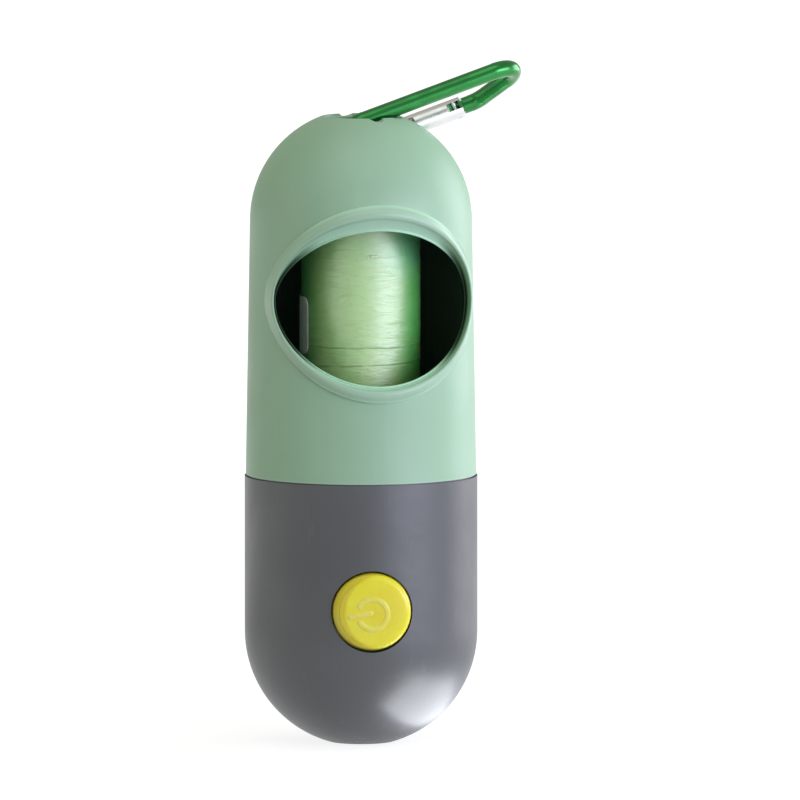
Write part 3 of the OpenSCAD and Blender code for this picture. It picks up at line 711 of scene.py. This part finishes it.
# The sign on the button, in millimetres across and up from the cap's middle, and degrees
SIGN_MIDDLE = Vector((0.0, -0.35))
SIGN_R = 2.72
SIGN_FROM = 149
SIGN_TO = -146
SIGN_BAR = (Vector((-3.95, -0.85)), Vector((-0.4, -0.22)))
SIGN_HALF = 0.5
SIGN_PROUD = 0.11
SIGN_SUNK = 0.05


def on_button(across, up, proud):
    """A point over the button's crowned face, in the frame of the whole object."""
    crown_r = (BUTTON_R ** 2 + BUTTON_CROWN ** 2) / (2 * BUTTON_CROWN)
    drop = crown_r - math.sqrt(crown_r ** 2 - across ** 2 - up ** 2)
    y = -BUTTON_FACE + drop - proud
    c, s = math.cos(TORCH_TURN), math.sin(TORCH_TURN)
    return (c * across - s * y, s * across + c * y, BUTTON_Z + up)


def raised_stroke(name, path):
    """A raised line with a rounded back and round ends, laid on the button along a path."""
    cap_steps, back_steps = 6, 12
    last = len(path) - 1
    spots = []
    for i, spot in enumerate(path):
        way = (path[min(i + 1, last)] - path[max(i - 1, 0)]).normalized()
        spots.append((spot, way, 1.0))
    cap = [math.pi / 2 * k / cap_steps for k in range(1, cap_steps + 1)]
    (start, start_way, _), (end, end_way, _) = spots[0], spots[-1]
    head = [(start - start_way * SIGN_HALF * math.sin(t), start_way, math.cos(t))
            for t in reversed(cap)]
    tail = [(end + end_way * SIGN_HALF * math.sin(t), end_way, math.cos(t)) for t in cap]
    rows = []
    for spot, way, wide in head + spots + tail:
        side = Vector((-way.y, way.x))
        wide = max(wide, 0.02)
        row = []
        for k in range(back_steps + 1):
            t = math.pi * k / back_steps
            p = spot + side * SIGN_HALF * wide * math.cos(t)
            back = (SIGN_PROUD + SIGN_SUNK) * wide ** 0.5 * math.sin(t) ** 0.6
            row.append(on_button(p.x, p.y, -SIGN_SUNK + back))
        rows.append(row)
    return grid_object(name, rows, ["sign_rubber"])


def power_sign():
    """The on-off sign, turned so that its bar points left."""
    ring_steps, bar_steps = 48, 12
    ring = []
    for k in range(ring_steps + 1):
        a = math.radians(SIGN_FROM - (SIGN_FROM - SIGN_TO) * k / ring_steps)
        ring.append(SIGN_MIDDLE + Vector((math.cos(a), math.sin(a))) * SIGN_R)
    outer, inner = SIGN_BAR
    bar = [outer.lerp(inner, k / bar_steps) for k in range(bar_steps + 1)]
    for name, path in (("sign_ring", ring), ("sign_bar", bar)):
        stroke = raised_stroke(name, path)
        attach(stroke, "button")


# The roll's ends lie a little inside the solid's, and its rims are rounded. The outermost bag
# ends at a bearing in degrees, with a step of its thickness.
ROLL_BORE_R = 5.87
ROLL_INSET = 0.12
ROLL_RIM_R = 0.5
ROLL_RIM_WIDTH = 0.55
ROLL_BAG_END = 60
ROLL_DIP = 0.04
ROLL_STEP = 0.08
ROLL_TURNS = 180
ROLL_LEVELS = 150
ROLL_END_STEPS = 8
ROLL_RIM_STEPS = 5


def roll_profile(outer, bottom, top):
    """The roll's half section, as radius, height and whether it is on a flat end: out over the
    lower end, up the side, and back in over the upper end."""
    face_r = outer - ROLL_RIM_WIDTH
    side_z = ROLL_INSET + ROLL_RIM_R
    radii = [ROLL_BORE_R + (face_r - ROLL_BORE_R) * (k / ROLL_END_STEPS)
             for k in range(ROLL_END_STEPS + 1)]
    rim = []
    for k in range(1, ROLL_RIM_STEPS):
        t = math.pi / 2 * k / ROLL_RIM_STEPS
        rim.append((face_r + ROLL_RIM_R * math.sin(t), ROLL_RIM_R * (1 - math.cos(t))))
    profile = [(r, bottom + ROLL_INSET, True) for r in radii]
    profile += [(r, bottom + ROLL_INSET + up, False) for r, up in rim]
    for k in range(ROLL_LEVELS):
        up = (top - bottom - 2 * side_z) * k / (ROLL_LEVELS - 1)
        profile.append((outer, bottom + side_z + up, False))
    profile += [(r, top - ROLL_INSET - down, False) for r, down in reversed(rim)]
    return profile + [(r, top - ROLL_INSET, True) for r in reversed(radii)]


def film_crease(a, z):
    """How far the film bulges at that bearing and height: broad creases, and fine ones on them."""
    broad = Vector((math.cos(a) * 1.1, math.sin(a) * 1.1, z * 0.5))
    fine = Vector((math.cos(a) * 2.6, math.sin(a) * 2.6, z * 1.7))
    return noise.fractal(broad, 0.8, 2.1, 4) * 0.035 + noise.fractal(fine, 0.7, 2.2, 3) * 0.02


def film_roll():
    """The wound bags: a skin with creases, soft rims and uneven layer ends, stepped where the
    last bag ends."""
    low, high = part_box("bag_roll")
    bottom, top = low.z / MM, high.z / MM
    middle = (bottom + top) / 2
    rows = []
    for r, z, flat in roll_profile(high.x / MM, bottom, top):
        row = []
        for i in range(ROLL_TURNS):
            a = 2 * math.pi * i / ROLL_TURNS
            crease = film_crease(a, z)
            if flat:
                inwards = 1 if z < middle else -1
                row.append((r * math.cos(a), r * math.sin(a), z + crease * 0.5 * inwards))
            else:
                past_end = (math.degrees(a) - ROLL_BAG_END) % 360
                dip = ROLL_DIP + ROLL_STEP * past_end / 360 - crease
                out = r - max(dip, 0)
                row.append((out * math.cos(a), out * math.sin(a), z))
        rows.append(row)
    upper_end = len(rows) - ROLL_END_STEPS - 1
    roll = grid_object("film_roll", rows, ["bag_film", "film_ends"], closed_row=True,
                       closed_column=True,
                       pick=lambda j: 1 if j < ROLL_END_STEPS or j >= upper_end else 0)
    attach(roll, "roll")
    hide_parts("bag_roll")


# The label's bearings on the film, in degrees, and its sizes
LABEL_FROM = math.radians(127.5)
LABEL_TO = math.radians(199.5)
LABEL_R = 10.95
LABEL_CORNER = 1.7
LABEL_THICK = 0.12
LABEL_COLUMNS = 20
LABEL_LEVELS = 7


def label():
    """The bare paper label with round corners, wrapped on the film, its edge rounded down."""
    low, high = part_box("roll_label")
    middle_z, half_h = (low.z + high.z) / 2 / MM, (high.z - low.z) / 2 / MM
    half_l = (LABEL_TO - LABEL_FROM) * LABEL_R / 2
    columns = [(half_l * math.sin(math.pi / 2 * k / LABEL_COLUMNS), LABEL_THICK)
               for k in range(-LABEL_COLUMNS, LABEL_COLUMNS + 1)]
    face = [(k / LABEL_LEVELS * 0.99, 1) for k in range(-LABEL_LEVELS, LABEL_LEVELS + 1)]
    levels = [(-1, 0), (-1, 0.6)] + face + [(1, 0.6), (1, 0)]
    rows = []
    for along, grown in [(-half_l, 0.0)] + columns + [(half_l, 0.0)]:
        past = max(abs(along) - (half_l - LABEL_CORNER), 0)
        half = half_h - LABEL_CORNER + math.sqrt(max(LABEL_CORNER ** 2 - past ** 2, 0))
        a = (LABEL_FROM + LABEL_TO) / 2 + along / LABEL_R
        row = []
        for share, lift in levels:
            out = LABEL_R + grown * lift
            row.append((out * math.cos(a), out * math.sin(a), middle_z + half * share))
        rows.append(row)
    patch = grid_object("paper_label", rows, ["label_paper"])
    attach(patch, "roll")
    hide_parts("roll_label")


# The thread's two starts and its sweep, in degrees, and its sizes. It fades in and out over one
# part in THREAD_FADE of its length.
THREAD_STARTS = (0, 180)
THREAD_SWEEP = 150
THREAD_FOOT = 1.6
THREAD_RISE = 3.4
THREAD_SUNK = 0.03
THREAD_PROUD = 0.3
THREAD_HALF = 0.45
THREAD_FADE = 6
THREAD_STEPS = 72
THREAD_ROUND_STEPS = 8


def spigot_thread():
    """Two starts of a low round thread on the spigot, which the bag half's skirt slides over."""
    for start in THREAD_STARTS:
        rows = []
        for i in range(THREAD_STEPS + 1):
            f = i / THREAD_STEPS
            a = math.radians(start + THREAD_SWEEP * f)
            z = SEAM_Z + THREAD_FOOT + THREAD_RISE * f
            fade = min(1, THREAD_FADE * f, THREAD_FADE * (1 - f))
            row = []
            for k in range(THREAD_ROUND_STEPS + 1):
                t = math.pi * k / THREAD_ROUND_STEPS
                r = SPIGOT_R - THREAD_SUNK + THREAD_PROUD * fade * math.sin(t)
                row.append((r * math.cos(a), r * math.sin(a), z + THREAD_HALF * math.cos(t)))
            rows.append(row)
        ridge = grid_object(f"spigot_thread_{start}", rows, ["torch_plastic"])
        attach(ridge, "torch")


window_bead()
power_sign()
film_roll()
label()
spigot_thread()
